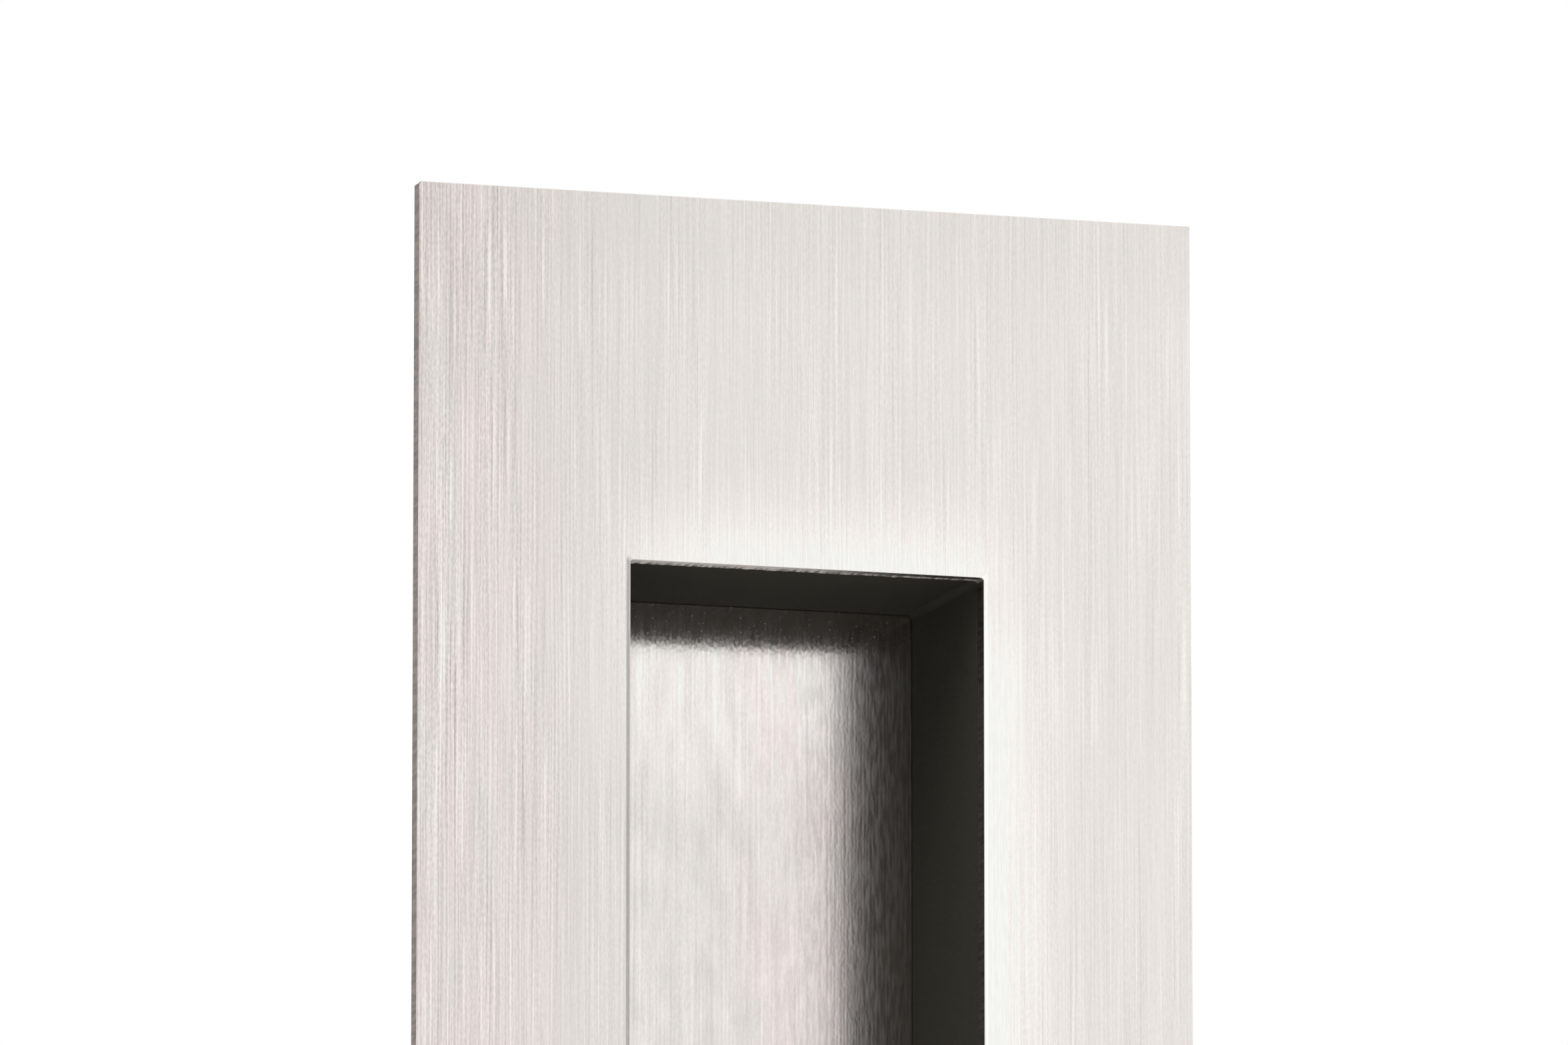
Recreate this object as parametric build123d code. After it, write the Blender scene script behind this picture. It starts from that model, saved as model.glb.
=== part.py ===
from build123d import *
import math
import os

# A rectangular flush pull for a sliding or hinged door: a brushed stainless face plate
# with a cut-out, a black moulded housing bonded behind it, and a brushed stainless
# panel laid on the housing's floor, which is what the fingertips meet.
# Millimetres. X runs across the pull, Z up its length, and Y from the room into the door.
# The origin is the middle of the cut-out, in the plane of the door's face.

# Face plate
plate_width = 50.0
plate_length = 200.0
plate_thickness = 1.2
plate_corner_radius = 0.2
opening_width = 22.8
opening_length = 154.0
opening_corner_radius = 0.2
plate_edge_round = 0.1

# Finger recess, from the plate's front to the back panel's front
recess_depth = 15.0

# Back panel
panel_thickness = 1.0
panel_clearance = 0.02
panel_edge_round = 0.03

# Housing
mouth_setback = 0.2
mouth_corner_radius = 0.5
wall_thickness = 1.8
floor_thickness = 2.0
draft_angle = 0.5
floor_edge_chamfer = 1.0
flange_width = 4.0
flange_thickness = 1.2
flange_corner_radius = 2.0

# Ribs that centre the housing in its mortise, as many on each side as these numbers say
rib_thickness = 1.5
rib_reach_into_door = 12.0
rib_lead_in = 2.0
rib_pitch = 34.0
ribs_on_long_side = 5
ribs_on_short_side = 1

# Sizes that follow from the ones above
mouth_width = opening_width + 2 * mouth_setback
mouth_length = opening_length + 2 * mouth_setback
pocket_depth = recess_depth - plate_thickness + panel_thickness
housing_depth = pocket_depth + floor_thickness
pocket_narrowing = pocket_depth * math.tan(math.radians(draft_angle))
panel_width = mouth_width - 2 * (pocket_narrowing + panel_clearance)
panel_length = mouth_length - 2 * (pocket_narrowing + panel_clearance)
shell_width = mouth_width + 2 * wall_thickness
shell_length = mouth_length + 2 * wall_thickness
shell_corner_radius = mouth_corner_radius + wall_thickness
flange_outer_width = shell_width + 2 * flange_width
flange_outer_length = shell_length + 2 * flange_width


def rounded_block(width, length, corner_radius, start, end, draft=0.0):
    """A rounded rectangle made solid between two depths, narrowing into the door by the draft angle."""
    door_plane = Plane(origin=(0, start, 0), x_dir=(1, 0, 0), z_dir=(0, 1, 0))
    outline = door_plane * RectangleRounded(width, length, corner_radius)
    return extrude(outline, amount=end - start, taper=draft)


def edges_at(solid, depth):
    """The edges that lie in the plane at this depth."""
    return solid.edges().filter_by_position(Axis.Y, depth, depth)


def flange_block():
    """The housing's flange before its mouth is cut, which also marks where the plate is bonded to it."""
    return rounded_block(flange_outer_width, flange_outer_length, flange_corner_radius, 0, flange_thickness)


def make_face_plate():
    """Laser-cut sheet with a rectangular cut-out, its front edges rounded over by deburring.

    Its back is two faces in one plane: the band bonded to the flange, and the rim that meets the door.
    """
    blank = rounded_block(plate_width, plate_length, plate_corner_radius, -plate_thickness, 0)
    cut_out = rounded_block(opening_width, opening_length, opening_corner_radius, -plate_thickness, 0)
    plate = fillet(edges_at(blank - cut_out, -plate_thickness), plate_edge_round)
    *other_faces, back = plate.faces().sort_by(Axis.Y)
    flange_front = flange_block().faces().sort_by(Axis.Y)[0]
    bonded_band = back.intersect(flange_front)
    door_rim = back - flange_front
    return Solid(Shell([*other_faces, *bonded_band.faces(), *door_rim.faces()]))


def make_rib(shell_half_size):
    """One rib on the wall that faces +X, with a sloped lead-in at its rear corner."""
    root = shell_half_size - wall_thickness / 2
    tip = shell_half_size + flange_width
    profile = Polyline(
        (root, 0),
        (tip, 0),
        (tip, rib_reach_into_door - rib_lead_in),
        (tip - rib_lead_in, rib_reach_into_door),
        (root, rib_reach_into_door),
        close=True,
    )
    return extrude(make_face(profile), amount=rib_thickness / 2, both=True)


def place_ribs(shell_half_size, count, turns):
    """Copies of a rib, spread evenly along the walls that these turns about Y bring it to."""
    rib = make_rib(shell_half_size)
    places = [(i - (count - 1) / 2) * rib_pitch for i in range(count)]
    return [Rot(0, turn, 0) * Pos(0, 0, place) * rib for turn in turns for place in places]


def make_recess_housing():
    """Moulded tray with a bonding flange round its mouth and centring ribs on its outside."""
    shell = rounded_block(shell_width, shell_length, shell_corner_radius, 0, housing_depth, draft_angle)
    shell = chamfer(edges_at(shell, housing_depth), floor_edge_chamfer)
    side_ribs = place_ribs(shell_width / 2, ribs_on_long_side, (0, 180))
    end_ribs = place_ribs(shell_length / 2, ribs_on_short_side, (90, 270))
    cavity = rounded_block(mouth_width, mouth_length, mouth_corner_radius, 0, pocket_depth, draft_angle)
    return shell + flange_block() + side_ribs + end_ribs - cavity


def make_back_panel():
    """Brushed sheet laid on the housing's floor, clear of the walls all round."""
    front = pocket_depth - panel_thickness
    panel = rounded_block(panel_width, panel_length, mouth_corner_radius, front, pocket_depth)
    return fillet(edges_at(panel, front), panel_edge_round)


os.makedirs("parts", exist_ok=True)
export_step(make_face_plate(), "parts/face_plate.step")
export_step(make_recess_housing(), "parts/recess_housing.step")
export_step(make_back_panel(), "parts/back_panel.step")
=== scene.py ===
import math

import bpy
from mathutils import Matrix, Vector


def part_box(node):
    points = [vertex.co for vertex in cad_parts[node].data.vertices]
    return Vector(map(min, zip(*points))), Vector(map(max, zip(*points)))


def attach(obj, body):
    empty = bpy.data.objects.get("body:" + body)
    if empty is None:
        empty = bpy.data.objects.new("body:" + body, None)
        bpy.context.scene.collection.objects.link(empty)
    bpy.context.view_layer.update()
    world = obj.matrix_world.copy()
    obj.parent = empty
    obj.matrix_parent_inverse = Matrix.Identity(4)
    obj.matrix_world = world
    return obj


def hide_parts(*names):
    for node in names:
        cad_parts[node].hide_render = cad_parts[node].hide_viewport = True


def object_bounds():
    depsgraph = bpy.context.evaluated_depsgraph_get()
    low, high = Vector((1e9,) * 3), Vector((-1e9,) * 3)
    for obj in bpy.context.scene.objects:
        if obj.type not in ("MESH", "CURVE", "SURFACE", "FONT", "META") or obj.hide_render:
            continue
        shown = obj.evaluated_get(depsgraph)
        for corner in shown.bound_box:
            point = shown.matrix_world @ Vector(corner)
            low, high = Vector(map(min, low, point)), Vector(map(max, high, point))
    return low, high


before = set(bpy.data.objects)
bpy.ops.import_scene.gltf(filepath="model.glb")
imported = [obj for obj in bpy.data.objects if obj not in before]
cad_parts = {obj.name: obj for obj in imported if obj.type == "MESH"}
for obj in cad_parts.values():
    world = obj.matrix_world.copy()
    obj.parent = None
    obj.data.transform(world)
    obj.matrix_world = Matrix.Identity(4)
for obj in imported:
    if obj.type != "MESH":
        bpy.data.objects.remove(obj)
cad_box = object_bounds()

# A rectangular flush pull. Its face plate is made here, with what is too fine for the solids:
# the brushing, a raised lip, a rolled-off rim, a burr and the drag lines of the laser. The
# moulded housing and the back panel keep their CAD meshes and get their finishes.
# Metres. X runs across the pull, Z up its length, and Y from the room into the door.
MM = 0.001
ORIGIN = (0.0, 0.0, 0.0)

# Face plate
opening_width = 22.8 * MM
opening_length = 154.0 * MM
opening_corner_radius = 0.2 * MM
deburred_edge = 0.035 * MM
outer_edge_chamfer = 0.05 * MM
lip_height = 0.025 * MM
lip_width = 0.21 * MM
rim_roll_off = 0.01 * MM
rim_width = 4.0 * MM

# Drag lines of the laser, slightly slanted, with a plain edge next to the face
drag_line_pitch = 0.65 * MM
drag_line_length = 4.0 * MM
drag_line_depth = 0.05 * MM
drag_line_slant = math.radians(8)
plain_edge = 0.15 * MM

# The burr on the wall at the two ends of the cut-out, next to the sheet's back
burr_height = 0.02 * MM
burr_bead_depth = 0.08 * MM
beaded_wall = 0.12 * MM
# The depth from the sheet's back within which the burr's wall is painted near white, a painted glint
bright_wall = 0.4 * MM

# How much stronger the brushing is at the rim that the belt meets first
rim_contrast = 2.45

# The palest that the brushing may get: above this the steel would lose its warm tint
palest_tone = 1.25

# How far the painted glow round the cut-out reaches
painted_glow_width = 7.8 * MM

# The even light of the studio on plain surfaces
studio_level = 0.7

# Camera: below and to the left of the pull, near its upper end, with a long lens.
# The numbers were fitted to the corners and edges seen in the photograph.
camera_azimuth = math.radians(17.045)
camera_rise = math.radians(10.048)
camera_distance = 1015.58 * MM
camera_aim = Vector((-1.061, 0.325, 80.1)) * MM
camera_lens = 376.97

# The colour sockets of a Mix node share their names with others, so they go by number
MIX_FIRST, MIX_SECOND, MIX_RESULT = 6, 7, 2

# The setting of a Map Range node that changes softly, without corners
SOFT = {"interpolation_type": "SMOOTHSTEP"}


def linear(hex_colour):
    """An sRGB hex colour as linear red, green, blue and alpha."""
    channels = [int(hex_colour[i : i + 2], 16) / 255 for i in (1, 3, 5)]
    return [c / 12.92 if c <= 0.04045 else ((c + 0.055) / 1.055) ** 2.4 for c in channels] + [1.0]


def add_node(tree, kind, inputs=(), **settings):
    """Adds a shader node, applies its settings, and fills its inputs, by name or in their order.

    An input gets a value, or a link from an output or from another node's first output.
    """
    node = tree.nodes.new("ShaderNode" + kind)
    for name, value in settings.items():
        setattr(node, name, value)
    if not isinstance(inputs, dict):
        inputs = dict(enumerate(inputs))
    for name, value in inputs.items():
        if isinstance(value, bpy.types.Node):
            value = value.outputs[0]
        if isinstance(value, bpy.types.NodeSocket):
            tree.links.new(value, node.inputs[name])
        else:
            node.inputs[name].default_value = value
    return node


def new_material(name):
    """An empty node material, its tree and its object coordinates."""
    material = bpy.data.materials.new(name)
    material.use_nodes = True
    tree = material.node_tree
    tree.nodes.clear()
    place = add_node(tree, "TexCoord").outputs["Object"]
    return material, tree, place


def sized_grain(tree, place, sizes_mm, detail=0.0):
    """A random pattern from 0 to 1 whose grains have these real sizes along X, Y and Z."""
    scale = [1 / (size * MM) for size in sizes_mm]
    stretched = add_node(tree, "Mapping", {"Vector": place, "Scale": scale})
    pattern = {"Vector": stretched, "Scale": 1.0, "Detail": detail, "Roughness": 0.6}
    return add_node(tree, "TexNoise", pattern)


def finish_material(tree, colour, tone, relief, relief_depth_mm, **shader_inputs):
    """The material's one shader, its colour made paler or darker by a tone around 1, and its bump."""
    toned = add_node(
        tree,
        "Mix",
        {0: 1.0, MIX_FIRST: colour, MIX_SECOND: tone},
        data_type="RGBA",
        blend_type="MULTIPLY",
        clamp_result=True,
    )
    bump = add_node(tree, "Bump", {"Height": relief, "Distance": relief_depth_mm * MM})
    inputs = {name.replace("_", " "): value for name, value in shader_inputs.items()}
    inputs["Base Color"] = toned.outputs[MIX_RESULT]
    inputs["Normal"] = bump
    shader = add_node(tree, "BsdfPrincipled", inputs)
    add_node(tree, "OutputMaterial", {"Surface": shader})


def brushed_stainless(
    name,
    shift_mm,
    groove_depth_mm,
    extra_tone,
    warm_side,
    line_mm=0.14,
    mottled=0.3,
    cloudy=0.0,
    dusty_from=None,
):
    """Stainless sheet, satin brushed along its length with a fine belt.

    The eye gets fine lines, pale and dark, a few millimetres long, and a sheen that spreads
    sideways and hardly at all up and down. The lines are as wide as the photograph shows them.
    The shift keeps two sheets from having the same lines. The warm side is given by where across
    the sheet it starts and where it is full. Mottled is the share of the shortest marks in the
    relief, and cloudy the strength of the clouds.
    """
    material, tree, place = new_material(name)
    distances = add_node(tree, "SeparateXYZ", [place]).outputs
    across, along = distances["X"], distances["Z"]
    shift = (shift_mm * MM, 0.0, shift_mm * MM)
    belt = add_node(tree, "Mapping", {"Vector": place, "Location": shift})

    # Lines of the belt, each kind with its share of the tone. Half of the shares is taken off,
    # so that the streaks lie round zero.
    hairlines = sized_grain(tree, belt, (line_mm, 1.0, 16.0))
    short_lines = sized_grain(tree, belt, (0.93 * line_mm, 1.0, 1.2))
    mottle = sized_grain(tree, belt, (0.86 * line_mm, 1.0, 0.3))
    shares = ((hairlines, 0.15), (short_lines, 0.08), (mottle, 0.12))
    streaks = -sum(share for lines, share in shares) / 2
    for lines, share in shares:
        streaks = add_node(tree, "Math", [lines, share, streaks], operation="MULTIPLY_ADD")

    # Scratches, first the pale and then the dark ones
    scratches = sized_grain(tree, belt, (0.93 * line_mm, 1.0, 11.0))
    for start, end, at_start, at_end in ((0.6, 0.74, 0.0, 0.08), (0.24, 0.38, -0.07, 0.0)):
        scratch = add_node(tree, "MapRange", [scratches, start, end, at_start, at_end], **SOFT)
        streaks = add_node(tree, "Math", [streaks, scratch], operation="ADD")

    # Uneven pressure of the belt, which is also stronger towards the rim where it runs on
    pressure = sized_grain(tree, belt, (1.6, 1.0, 25.0), detail=1.0)
    pressure = add_node(tree, "MapRange", [pressure, 0.32, 0.68, 0.65, 1.3], **SOFT)
    streaks = add_node(tree, "Math", [streaks, pressure], operation="MULTIPLY")
    rim = add_node(tree, "MapRange", [across, -25 * MM, -11 * MM, rim_contrast, 1.0], **SOFT)
    tone = add_node(tree, "Math", [streaks, rim, 1.015], operation="MULTIPLY_ADD")

    # Faint broad bands and small clouds
    bands = sized_grain(tree, belt, (1.2, 1.0, 45.0), detail=2.0)
    tone = add_node(tree, "Math", [bands, 0.05, tone], operation="MULTIPLY_ADD")
    clouds = sized_grain(tree, belt, (1.3, 1.0, 3.5), detail=1.0)
    clouds = add_node(tree, "Math", [clouds, 0.5], operation="SUBTRACT")
    tone = add_node(tree, "Math", [clouds, cloudy, tone], operation="MULTIPLY_ADD")
    # extra_tone multiplies in the sheet's painted glow and painted shade
    tone = add_node(tree, "Math", [tone, extra_tone(tree, across, along)], operation="MULTIPLY")
    tone = add_node(tree, "Math", [tone, palest_tone], operation="MINIMUM")

    # The grooves that the belt leaves, which give the relief
    grooves = add_node(tree, "Math", [short_lines, 0.5, hairlines], operation="MULTIPLY_ADD")
    grooves = add_node(tree, "Math", [mottle, mottled, grooves], operation="MULTIPLY_ADD")
    grooves = add_node(tree, "Math", [grooves, rim], operation="MULTIPLY")

    # Some lines scatter more than others, and so does a little dust at the ends of the recess
    roughness = add_node(tree, "MapRange", [short_lines, 0.3, 0.7, 0.138, 0.18], **SOFT)
    if dusty_from:
        height = add_node(tree, "Math", [along], operation="ABSOLUTE")
        at_ends = add_node(tree, "MapRange", [height, dusty_from, dusty_from + 2 * MM], **SOFT)
        specks = sized_grain(tree, place, (0.16, 1.0, 0.16))
        specks = add_node(tree, "MapRange", [specks, 0.76, 0.81], **SOFT)
        dust = add_node(tree, "Math", [specks, at_ends], operation="MULTIPLY")
        roughness = add_node(tree, "Math", [dust, 0.3, roughness], operation="MULTIPLY_ADD")

    # Patches of a slightly warmer grey on one side of the sheet
    patches = sized_grain(tree, belt, (1.7, 1.0, 9.0), detail=1.0)
    patches = add_node(tree, "MapRange", [patches, 0.28, 0.6], **SOFT)
    side = add_node(tree, "MapRange", [across, *warm_side], **SOFT)
    warm = add_node(tree, "Math", [patches, side], operation="MULTIPLY")
    greys = {0: warm, MIX_FIRST: linear("#ece7e3"), MIX_SECOND: linear("#efe6e3")}
    steel = add_node(tree, "Mix", greys, data_type="RGBA")
    finish_material(
        tree,
        steel.outputs[MIX_RESULT],
        tone,
        grooves,
        groove_depth_mm,
        Metallic=1.0,
        Roughness=roughness,
        Anisotropic=0.84,
        Tangent=add_node(tree, "Tangent", direction_type="RADIAL", axis="Z"),
    )
    return material


def face_tone(tree, across, along):
    """How pale the plate's brushing is, with a painted glow round the cut-out and painted shade at one rim
    and the ends.
    """
    height = add_node(tree, "Math", [along], operation="ABSOLUTE")
    squares = 0.0
    for place, half_opening in ((across, opening_width / 2), (along, opening_length / 2)):
        beyond = add_node(tree, "Math", [place], operation="ABSOLUTE")
        beyond = add_node(tree, "Math", [beyond, half_opening], operation="SUBTRACT")
        beyond = add_node(tree, "Math", [beyond, 0.0], operation="MAXIMUM")
        squares = add_node(tree, "Math", [beyond, beyond, squares], operation="MULTIPLY_ADD")
    distance = add_node(tree, "Math", [squares], operation="SQRT")
    glow = add_node(tree, "MapRange", [distance, 0.0, painted_glow_width, 1.0, 0.0])
    glow = add_node(tree, "Math", [glow, 2.0], operation="POWER")

    # The glow is strong on the right of the cut-out and faint on its left
    right = add_node(tree, "MapRange", [height, 69 * MM, 77 * MM, 0.32, 0.12], **SOFT)
    left = add_node(tree, "MapRange", [height, 60 * MM, 69 * MM, 0.0, 0.08], **SOFT)
    right_half = add_node(tree, "MapRange", [across, -4 * MM, 4 * MM, 0.0, 1.0], **SOFT)
    left_half = add_node(tree, "MapRange", [across, -4 * MM, 4 * MM, 1.0, 0.0], **SOFT)
    sides = add_node(tree, "Math", [right, right_half], operation="MULTIPLY")
    sides = add_node(tree, "Math", [left, left_half, sides], operation="MULTIPLY_ADD")

    # Above and below the cut-out it rises from the left and falls again towards the right
    rise = add_node(tree, "MapRange", [across, -15.5 * MM, -5 * MM, 0.05, 0.27], **SOFT)
    fall = add_node(tree, "MapRange", [across, 8 * MM, 15 * MM, 1.0, 0.4], **SOFT)
    ends = add_node(tree, "Math", [rise, fall], operation="MULTIPLY")
    at_end = add_node(tree, "MapRange", [height, 75 * MM, 78 * MM], **SOFT)
    not_at_end = add_node(tree, "Math", [1.0, at_end], operation="SUBTRACT")
    strength = add_node(tree, "Math", [sides, not_at_end], operation="MULTIPLY")
    strength = add_node(tree, "Math", [ends, at_end, strength], operation="MULTIPLY_ADD")
    tone = add_node(tree, "Math", [glow, strength, 1.0], operation="MULTIPLY_ADD")

    # Painted shade: a little darker towards the rim at negative X and at the ends, and once more at the
    # corners between them
    painted_shade_at_rim = add_node(tree, "MapRange", [across, -16 * MM, -5 * MM, 0.96, 1.0], **SOFT)
    painted_shade_at_ends = add_node(tree, "MapRange", [height, 92 * MM, 98 * MM, 1.0, 0.965], **SOFT)
    near_rim = add_node(tree, "MapRange", [across, -24 * MM, -16 * MM, -0.05, 0.0], **SOFT)
    near_end = add_node(tree, "MapRange", [height, 83 * MM, 91 * MM], **SOFT)
    corner = add_node(tree, "Math", [near_rim, near_end, 1.0], operation="MULTIPLY_ADD")
    for darker in (painted_shade_at_rim, painted_shade_at_ends, corner):
        tone = add_node(tree, "Math", [tone, darker], operation="MULTIPLY")
    return tone


def painted_glow_at_panel_ends(tree, across, along):
    """The back panel is painted a little paler towards its ends, a painted glow."""
    height = add_node(tree, "Math", [along], operation="ABSOLUTE")
    return add_node(tree, "MapRange", [height, 63 * MM, 70 * MM, 1.0, 1.1], **SOFT)


def laser_cut_stainless(name, colour, roughness, drag_line_contrast):
    """The cut edge of stainless sheet: duller and greyer than the faces, with fine drag lines through it."""
    material, tree, place = new_material(name)
    drag = sized_grain(tree, place, (0.3, 2.5, 0.3), detail=1.0)
    tone = add_node(tree, "MapRange", [drag, 0.35, 0.65, 1.0 - drag_line_contrast, 1.0], **SOFT)
    patches = sized_grain(tree, place, (1.5, 1.5, 3.0), detail=1.0)
    tone = add_node(tree, "Math", [patches, 0.3, tone], operation="MULTIPLY_ADD")
    finish_material(tree, linear(colour), tone, drag, 0.008, Metallic=1.0, Roughness=roughness)
    return material


def cold_rolled_stainless():
    """The back of the sheet as it left the mill: a smooth grey skin without lines."""
    material, tree, place = new_material("cold_rolled_stainless")
    clouds = sized_grain(tree, place, (2.0, 2.0, 6.0), detail=3.0)
    tone = add_node(tree, "Math", [clouds, 0.12, 0.9], operation="MULTIPLY_ADD")
    skin = sized_grain(tree, place, (0.05, 0.05, 0.05))
    finish_material(tree, linear("#d2cfcb"), tone, skin, 0.001, Metallic=1.0, Roughness=0.3)
    return material


def black_nylon_and_painted_shade():
    """Black nylon from a spark-eroded mould: near black, partly its own colour and partly painted shade of
    the deep recess, with a fine matt grain and almost no gloss.

    The grain is drawn coarser than such a mould gives, so that it shows.
    """
    material, tree, place = new_material("black_nylon_and_painted_shade")
    grain = sized_grain(tree, place, (0.25, 0.25, 0.25), detail=3.0)
    tone = add_node(tree, "Math", [grain, 0.4, 0.8], operation="MULTIPLY_ADD")
    finish_material(
        tree, linear("#44423b"), tone, grain, 0.006, Roughness=0.7, Specular_IOR_Level=0.02
    )
    return material


def pick(mesh, kind, rule):
    """In edit mode, leaves only those vertices, edges or faces selected that a rule picks."""
    bpy.ops.mesh.select_mode(type=kind)
    bpy.ops.mesh.select_all(action="DESELECT")
    bpy.ops.object.mode_set(mode="OBJECT")
    items = {"VERT": mesh.vertices, "EDGE": mesh.edges, "FACE": mesh.polygons}[kind]
    for item in items:
        item.select = rule(item)
    bpy.ops.object.mode_set(mode="EDIT")


def edge_length(mesh, edge):
    """The length of an edge of the mesh."""
    start, end = edge.vertices
    return (mesh.vertices[start].co - mesh.vertices[end].co).length


def section_steps(width, length, thickness):
    """Width, length and depth of the outline at each step round the section of the sheet.

    The steps go up the wall of the cut-out, from the burr that hangs at its two ends, over its
    edge with the slight lip that brushing raised there, across the brushed face, over the outer
    edge and down the outer wall, and back to the start.
    """
    # Each point is how far it lies out from the cut-out or in from the rim, and its depth
    wall = [(0.0, -thickness * share) for share in (0.0, 0.2, 0.4, 0.6, 0.8)]
    burr = [(1.0, 0.0), (1.0, -0.06 * MM), (0.5, -0.11 * MM), (0.0, -0.16 * MM)]
    burr = [(-burr_height * share, depth) for share, depth in burr]
    turns = [math.radians(angle) for angle in (0, 22.5, 45, 67.5, 90)]
    rounding = [(1 - math.cos(turn), 1 - math.sin(turn)) for turn in turns]
    rounding = [(deburred_edge * outset, deburred_edge * depth - thickness) for outset, depth in rounding]
    face = lip_height - thickness
    shares = (0.05, 0.15, 0.85, 1)
    lip = [(deburred_edge + lip_width * share, lip_height * share - thickness) for share in shares]
    inner = wall[1:] + rounding + lip + [(1.5 * lip_width, face)]
    fall = [(share, rim_roll_off * (1 - share) ** 2) for share in (0.1, 0.25, 0.5, 0.75, 1)]
    roll_off = [(rim_width * share, face + drop) for share, drop in fall]
    rim = face + rim_roll_off
    outer = wall + [(0.0, rim + outer_edge_chamfer), (outer_edge_chamfer, rim)] + roll_off
    steps = [(opening_width, opening_length + 2 * outset, depth) for outset, depth in burr]
    steps += [(opening_width + 2 * outset, opening_length + 2 * outset, depth) for outset, depth in inner]
    steps += [(width - 2 * inset, length - 2 * inset, depth) for inset, depth in reversed(outer)]
    return steps + [steps[0]]


def sweep_sheet(steps):
    """The bare sheet, left in edit mode: the cut-out's outline goes round the sheet's section."""
    bpy.ops.object.select_all(action="DESELECT")
    bpy.ops.mesh.primitive_plane_add(size=1.0, location=ORIGIN)
    plate = bpy.context.object
    plate.name = "face_plate_sheet"
    mesh = plate.data
    bpy.ops.object.mode_set(mode="EDIT")
    bpy.ops.transform.rotate(value=math.pi / 2, orient_axis="X", center_override=ORIGIN)
    bpy.ops.transform.resize(value=(steps[0][0], 1, steps[0][1]), center_override=ORIGIN)
    bpy.ops.mesh.bevel(offset=opening_corner_radius, segments=4, affect="VERTICES")
    bpy.ops.mesh.delete(type="ONLY_FACE")

    # Edges between two lengths in millimetres are cut up, until the drag lines can bend them
    for shortest, longest, cuts in ((10, 200, 99), (1, 2, 11), (0.2, 0.25, 1)):
        pick(mesh, "EDGE", lambda edge: shortest * MM < edge_length(mesh, edge) < longest * MM)
        bpy.ops.mesh.subdivide(number_cuts=cuts)

    # The outline grows and moves from step to step, and closes on itself
    bpy.ops.mesh.select_all(action="SELECT")
    for before, after in zip(steps, steps[1:]):
        bpy.ops.mesh.extrude_edges_move()
        growth = (after[0] / before[0], 1, after[1] / before[1])
        bpy.ops.transform.resize(value=growth, center_override=ORIGIN)
        bpy.ops.transform.translate(value=(0, after[2] - before[2], 0))
    bpy.ops.mesh.select_all(action="SELECT")
    bpy.ops.mesh.remove_doubles(threshold=0.001 * MM)
    bpy.ops.mesh.normals_make_consistent(inside=False)
    return plate


def sharpen_outer_corners(mesh, width, length):
    """In edit mode, draws in the outer corners, whose rounding grew with the outline."""
    grown_x, grown_z = 0.6 * MM, 0.35 * MM
    for x, z in ((-1, -1), (-1, 1), (1, -1), (1, 1)):
        corner = Vector((x * width / 2, 0, z * length / 2))

        def at_corner(vertex):
            offset = vertex.co - corner
            return abs(offset.x) < grown_x and abs(offset.z) < grown_z

        pick(mesh, "VERT", at_corner)
        bpy.ops.transform.resize(value=(0.5, 1, 0.5), center_override=corner)


def finish_faces(plate, width, length):
    """In edit mode, gives each face of the sheet its finish, and leaves edit mode.

    The sheet is brushed in front, with mill skin behind and dull cut edges round the outside, partly painted
    shade.
    The cut-out's ends are painted pale as a painted highlight, with the burr's beads near white as a painted
    glint, and its sides are painted dark as painted shade.
    """

    def on_wall(face):
        return abs(face.normal.y) < 0.15

    def outside(face):
        return abs(face.center.x) > width / 2 - MM or abs(face.center.z) > length / 2 - MM

    def on_outer_wall(face):
        rounds_corner = abs(face.normal.x) > 0.2 and abs(face.normal.z) > 0.2
        return outside(face) and (on_wall(face) or rounds_corner)

    def beside_recess(face):
        faces_sideways = abs(face.normal.y) < 0.16 and abs(face.normal.z) < 0.97
        return faces_sideways and not outside(face)

    def beaded(face):
        at_end = abs(face.normal.z) > 0.8 and abs(face.center.z) < opening_length / 2 + MM
        return at_end and face.center.y > -bright_wall and abs(face.normal.y) < 0.5

    def at_back(face):
        return face.normal.y > 0.5

    # One cut edge in lit and shaded copies: the cut-out's ends pale as a painted highlight, the outer walls
    # duller and partly painted shade, the sides beside the recess dark as painted shade, and the burr's
    # beads near white as a painted glint
    finishes = (
        (laser_cut_stainless("laser_cut_stainless_painted_highlight", "#b9b6b4", 0.32, 0.3), on_wall),
        (laser_cut_stainless("laser_cut_stainless_dull_painted_shade", "#847871", 0.45, 0.4), on_outer_wall),
        (laser_cut_stainless("laser_cut_stainless_painted_shade", "#6a615b", 0.45, 0.5), beside_recess),
        (laser_cut_stainless("laser_cut_stainless_burr_painted_glint", "#f0eeec", 0.6, 0.75), beaded),
        (cold_rolled_stainless(), at_back),
    )
    brushed_face = brushed_stainless(
        "brushed_stainless_face",
        shift_mm=0.0,
        groove_depth_mm=0.0022,
        extra_tone=face_tone,
        warm_side=(-10 * MM, -22 * MM),
    )
    plate.data.materials.append(brushed_face)
    for slot, (material, rule) in enumerate(finishes, start=1):
        plate.data.materials.append(material)
        pick(plate.data, "FACE", rule)
        plate.active_material_index = slot
        bpy.ops.object.material_slot_assign()
    bpy.ops.object.mode_set(mode="OBJECT")


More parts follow.
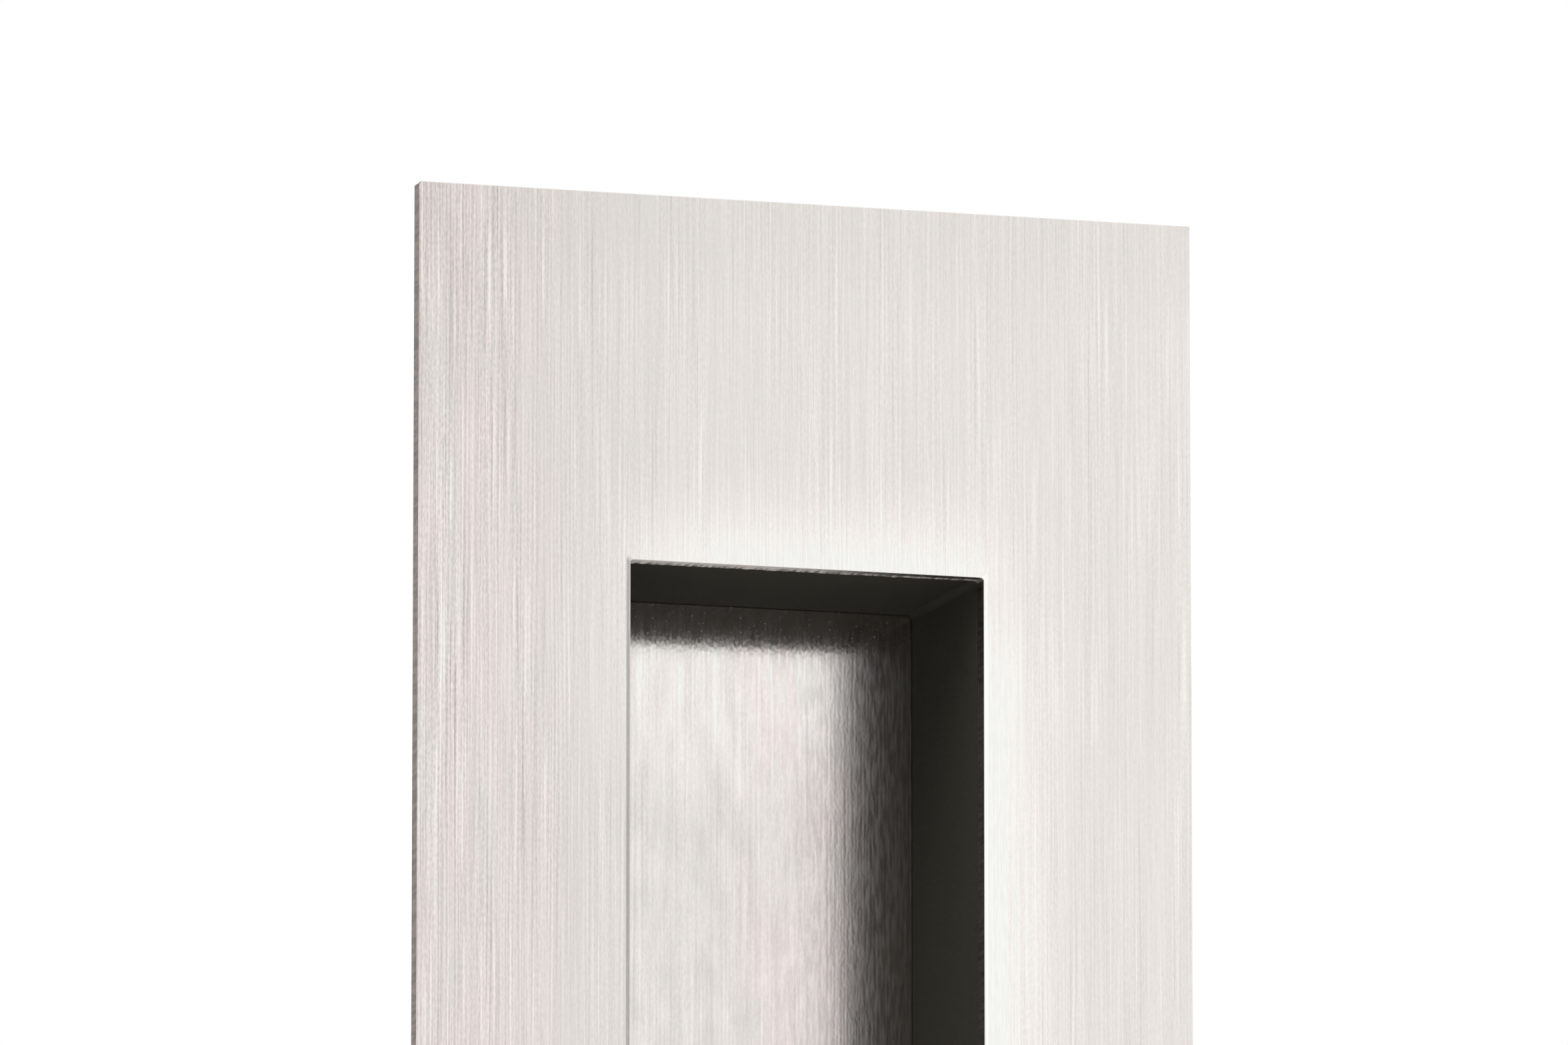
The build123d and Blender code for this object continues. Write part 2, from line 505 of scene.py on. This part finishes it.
def roughen_cut(plate, thickness):
    """Bends the cut walls by the drag lines of the laser, and the burr into beads."""
    bpy.ops.object.empty_add(rotation=(drag_line_slant, 0, drag_line_slant))
    ruler = bpy.context.object
    ruler.scale = (drag_line_pitch / 2, drag_line_length, drag_line_pitch / 2)
    waves = bpy.data.textures.new("drag_lines", "CLOUDS")
    waves.noise_scale = 1.0
    waves.noise_depth = 1
    bpy.ops.object.select_all(action="DESELECT")
    plate.select_set(True)
    bpy.context.view_layer.objects.active = plate
    bend_walls(plate, "burr", "Z", ruler, waves, burr_bead_depth, (-beaded_wall, MM))
    lined_wall = (plain_edge - thickness, -beaded_wall)
    for axis in "XZ":
        bend_walls(plate, "drag_lines", axis, ruler, waves, drag_line_depth, lined_wall)
    bpy.data.objects.remove(ruler)


def bend_walls(plate, name, axis, ruler, waves, strength, depths):
    """Bends the cut walls that face along one axis, between two depths in the sheet."""
    along = "XYZ".index(axis)
    across = 2 - along
    opening = Vector((opening_width, 0, opening_length)) / 2
    corner = 2 * opening_corner_radius
    nearest, farthest = depths

    def on_wall(vertex):
        place = [abs(value) for value in vertex.co]
        inner = place[along] < opening[along] + deburred_edge and place[across] < opening[across] - corner
        outer = place[along] > cad_box[1][along] - 2 * deburred_edge and name != "burr"
        return (inner or outer) and nearest < vertex.co.y < farthest

    wall = plate.vertex_groups.new(name=name + "_" + axis)
    wall.add([vertex.index for vertex in plate.data.vertices if on_wall(vertex)], 1.0, "REPLACE")
    modifier = plate.modifiers.new(wall.name, "DISPLACE")
    modifier.texture = waves
    modifier.texture_coords = "OBJECT"
    modifier.texture_coords_object = ruler
    modifier.direction = axis
    modifier.mid_level = 0.5
    modifier.strength = strength
    modifier.vertex_group = wall.name
    bpy.ops.object.modifier_apply(modifier=modifier.name)


def cut_face_plate():
    """The face plate: brushed sheet with laser-cut walls that carry the drag lines of the cut."""
    low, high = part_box("face_plate")
    width, length = high.x - low.x - drag_line_depth, high.z - low.z - drag_line_depth
    thickness = high.y - low.y
    plate = sweep_sheet(section_steps(width, length, thickness))
    sharpen_outer_corners(plate.data, width, length)
    finish_faces(plate, width, length)
    roughen_cut(plate, thickness)
    bpy.ops.object.shade_smooth_by_angle(angle=math.radians(30))
    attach(plate, "root")
    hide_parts("face_plate")


def give_finish(node_name, material):
    """Puts a material in every slot of a CAD node."""
    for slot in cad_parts[node_name].material_slots:
        slot.material = material


def finish_back_panel():
    """The back panel: the same brushed sheet with coarser lines, cloudy, and dusty at its ends."""
    panel_steel = brushed_stainless(
        "brushed_stainless_panel",
        shift_mm=31.0,
        groove_depth_mm=0.0028,
        # A painted glow, paler towards the panel's ends
        extra_tone=painted_glow_at_panel_ends,
        warm_side=(-2 * MM, 2 * MM),
        line_mm=0.19,
        mottled=0.7,
        cloudy=0.26,
        dusty_from=73.8 * MM,
    )
    give_finish("back_panel", panel_steel)


def studio_world():
    """A white studio: white behind the pull, and in front of it white on the right and dim on the left."""
    world = bpy.data.worlds.new("pale_studio")
    bpy.context.scene.world = world
    world.use_nodes = True
    tree = world.node_tree
    tree.nodes.clear()
    direction = add_node(tree, "TexCoord").outputs["Generated"]
    towards = add_node(tree, "SeparateXYZ", [direction]).outputs
    ray = add_node(tree, "LightPath").outputs

    # White for the camera and through glass, and an even level on plain surfaces
    seen = [ray["Is Camera Ray"], ray["Is Transmission Ray"]]
    white = add_node(tree, "Math", seen, operation="MAXIMUM")
    shown = add_node(tree, "Math", [white, ray["Is Glossy Ray"]], operation="MAXIMUM")
    plain = add_node(tree, "Math", [shown, -studio_level, studio_level], operation="MULTIPLY_ADD")
    level = add_node(tree, "Math", [plain, white], operation="ADD")

    # What metal reflects: dim on the left in front, turning to white on the right, and white behind
    dim_until, white_from, dim_level = -0.13, 0.305, 0.15
    front = add_node(tree, "MapRange", [towards["X"], dim_until, white_from, dim_level, 1.0])
    behind = add_node(tree, "MapRange", [towards["Y"], -0.75, -0.1], **SOFT)
    reflected = add_node(tree, "Math", [front, behind], operation="MAXIMUM")
    glossy = [ray["Is Glossy Ray"], reflected, level]
    level = add_node(tree, "Math", glossy, operation="MULTIPLY_ADD")
    background = add_node(tree, "Background", {"Color": linear("#ffffff"), "Strength": level})
    add_node(tree, "OutputWorld", {"Surface": background})


def add_softbox(name, aim, direction, distance, size, watts):
    """A square soft lamp, this far from its aim in this direction, facing it."""
    lamp_data = bpy.data.lights.new(name, "AREA")
    lamp_data.size = size
    lamp_data.energy = watts
    lamp = bpy.data.objects.new(name, lamp_data)
    bpy.context.scene.collection.objects.link(lamp)
    away = Vector(direction).normalized()
    lamp.location = Vector(aim) + away * distance
    lamp.rotation_euler = away.to_track_quat("Z", "Y").to_euler()


def pale_floor():
    """A plain pale floor under the pull's lower end, painted matt."""
    bpy.ops.object.select_all(action="DESELECT")
    bpy.ops.mesh.primitive_plane_add(size=12.0, location=(0, 0, cad_box[0].z))
    floor = bpy.context.object
    floor.name = "floor"
    material, tree, place = new_material("pale_studio_floor")
    speckle = sized_grain(tree, place, (0.8, 0.8, 0.8))
    bump = add_node(tree, "Bump", {"Height": speckle, "Distance": 0.01 * MM})
    paint = {"Base Color": linear("#efeeec"), "Roughness": 0.9, "Normal": bump}
    shader = add_node(tree, "BsdfPrincipled", paint)
    add_node(tree, "OutputMaterial", {"Surface": shader})
    floor.data.materials.append(material)


def aim_camera():
    """The photograph's view: a long lens aimed up at the upper end of the pull."""
    look = Vector(
        (
            math.sin(camera_azimuth) * math.cos(camera_rise),
            math.cos(camera_azimuth) * math.cos(camera_rise),
            math.sin(camera_rise),
        )
    )
    camera_data = bpy.data.cameras.new("camera")
    camera_data.sensor_width = 36.0
    camera_data.lens = camera_lens
    camera_data.clip_start = 0.01
    camera = bpy.data.objects.new("camera", camera_data)
    bpy.context.scene.collection.objects.link(camera)
    camera.location = camera_aim - look * camera_distance
    camera.rotation_euler = look.to_track_quat("-Z", "Y").to_euler()
    bpy.context.scene.camera = camera


bpy.context.scene.view_settings.view_transform = "Standard"
aim_camera()
studio_world()
pale_floor()
add_softbox("key", aim=(0, 0, 0.05), direction=(-0.9, -1.0, 1.4), distance=1.2, size=0.8, watts=4.0)
cut_face_plate()
finish_back_panel()
give_finish("recess_housing", black_nylon_and_painted_shade())
